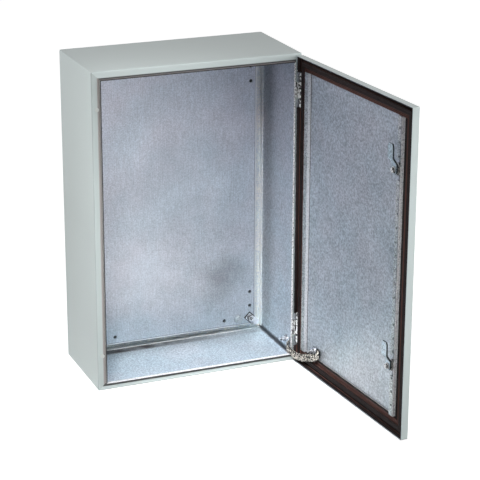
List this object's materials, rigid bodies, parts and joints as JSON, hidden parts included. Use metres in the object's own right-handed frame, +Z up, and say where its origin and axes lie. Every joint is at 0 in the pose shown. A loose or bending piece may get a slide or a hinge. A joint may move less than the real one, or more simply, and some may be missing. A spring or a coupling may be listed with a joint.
{
  "type": "steel wall enclosure",
  "caption": "Wall-mounting sheet-steel enclosure with a hinged, gasketed door standing open, two quarter-turn cam locks, an earthing strap and a galvanised mounting plate.",
  "frame": {"origin": "centre of the four wall-fixing holes, on the outer face of the back", "axes": "+Y into the wall, along the fixing screws; -Y out of the opening; +X to the hinge side; +Z up"},
  "size_m": [0.4295, 0.586, 0.6],
  "materials": {
    "painted_sheet": "light grey powder coat outside, bare galvanised sheet inside",
    "galvanised_sheet": "hot-dip galvanised, faint spangle",
    "bright_zinc": "bright zinc plating",
    "nickel_plating": "satin nickel plated die casting",
    "seal_rubber": "matt black moulded seal",
    "grey_plastic": "light grey moulded",
    "tinned_braid": "tinned copper braid, dull"
  },
  "bodies": {
    "enclosure": {"left_side": "painted_sheet", "right_side": "painted_sheet", "top_wall": "painted_sheet", "floor_wall": "painted_sheet", "back_panel": "galvanised_sheet", "plate_studs": "bright_zinc", "plate_spacers": "bright_zinc", "mounting_plate": "galvanised_sheet", "plate_washers": "bright_zinc", "plate_nuts": "bright_zinc", "plate_earth_bolt": "bright_zinc", "plate_earth_tab": "bright_zinc", "plate_earth_washer": "bright_zinc", "plate_earth_nut": "bright_zinc", "hinge_hole_plugs": "grey_plastic", "hinge_frame_leaves": "bright_zinc", "hinge_pins": "bright_zinc", "side_earth_stud": "bright_zinc", "side_earth_washer": "bright_zinc", "side_earth_nut": "bright_zinc", "side_strap_lug": "bright_zinc", "earth_strap": "tinned_braid"},
    "door": {"door_panel": "painted_sheet", "door_gasket": "seal_rubber", "hinge_side_rail": "galvanised_sheet", "lock_side_rail": "galvanised_sheet", "hinge_door_leaves": "bright_zinc", "lock_seals": "seal_rubber", "lock_housings": "nickel_plating", "lock_nuts": "bright_zinc", "door_earth_stud": "bright_zinc", "door_earth_washer": "bright_zinc", "door_earth_nut": "bright_zinc", "door_strap_lug": "bright_zinc"},
    "upper_lock": {"upper_lock_insert": "nickel_plating", "upper_lock_cam": "bright_zinc", "upper_cam_screw": "bright_zinc"},
    "lower_lock": {"lower_lock_insert": "nickel_plating", "lower_lock_cam": "bright_zinc", "lower_cam_screw": "bright_zinc"}
  },
  "joints": [
    {"name": "door_hinge", "type": "hinge", "parent": "enclosure", "child": "door", "pos_m": [0.1945, -0.193, 0], "axis": [0, 0, 1], "range_deg": [-94, 26], "deforming": ["earth_strap"]},
    {"name": "upper_lock_turn", "type": "hinge", "parent": "door", "child": "upper_lock", "pos_m": [0.22374, -0.53229, 0.177], "axis": [0.9976, 0.0698, 0], "range_deg": [0, 90]},
    {"name": "lower_lock_turn", "type": "hinge", "parent": "door", "child": "lower_lock", "pos_m": [0.22374, -0.53229, -0.177], "axis": [0.9976, 0.0698, 0], "range_deg": [0, 90]}
  ]
}
